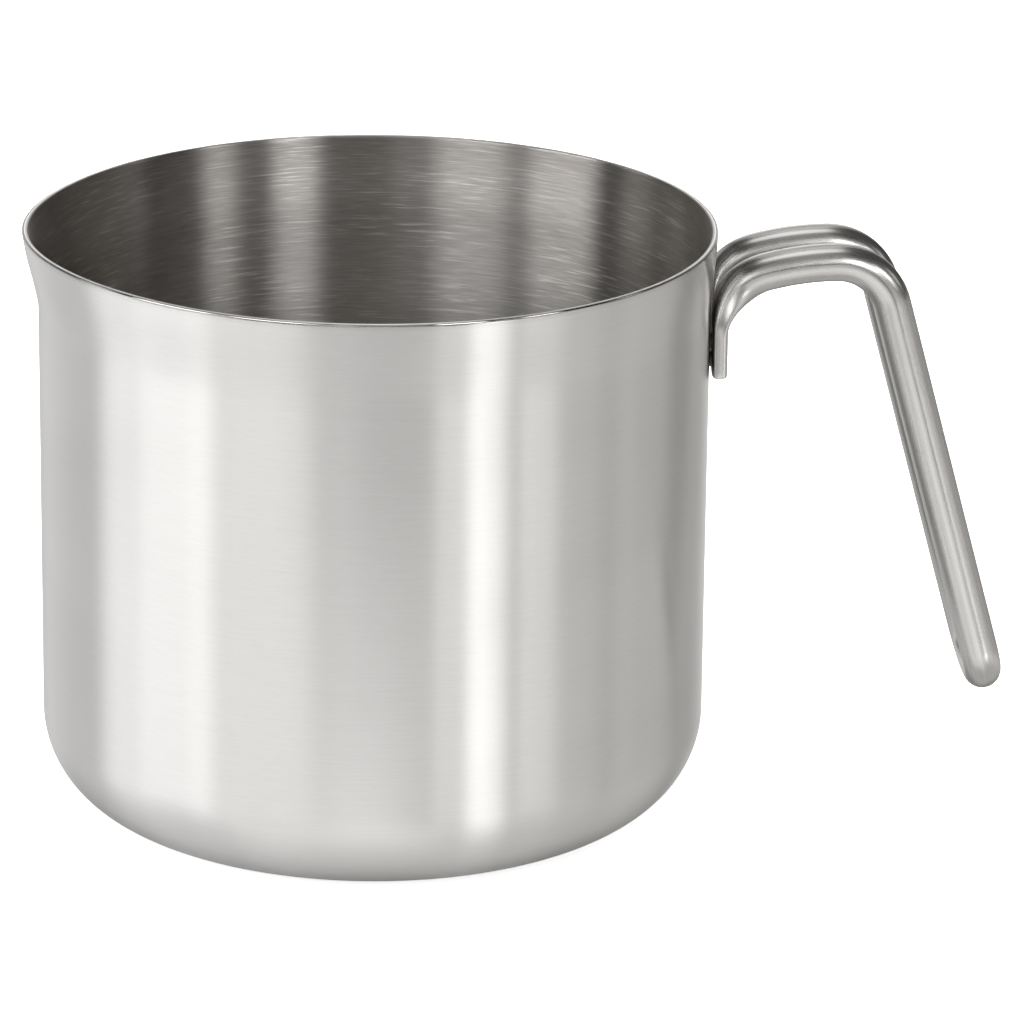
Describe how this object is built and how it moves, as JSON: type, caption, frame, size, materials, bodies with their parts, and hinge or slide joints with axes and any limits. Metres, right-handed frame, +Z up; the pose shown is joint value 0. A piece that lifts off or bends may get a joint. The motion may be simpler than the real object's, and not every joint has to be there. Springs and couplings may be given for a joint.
{
  "type": "milk pan",
  "caption": "Small straight-walled stovetop pan in clad steel sheet, with a pulled pouring lip and a bent hairpin rod handle welded to its wall.",
  "frame": {"origin": "centre of the flat base's underside, on the pan's axis", "axes": "+Z up along the pan's axis, +X towards the handle, -X towards the pouring lip"},
  "size_m": [0.2083, 0.1426, 0.125],
  "materials": {
    "skin_steel": "fine brush lines running round the pan, satin",
    "core_aluminium": "plain, seen only as a line in the cut rim",
    "liner_steel": "coarser brush lines running round the inside, satin",
    "rod_steel": "soft polish along the rod",
    "weld_steel": "dull, heat tinted"
  },
  "bodies": {
    "root": {"outer_skin": "skin_steel", "aluminium_core": "core_aluminium", "inner_liner": "liner_steel", "handle_rod": "rod_steel", "weld_nuggets": "weld_steel"}
  },
  "joints": []
}
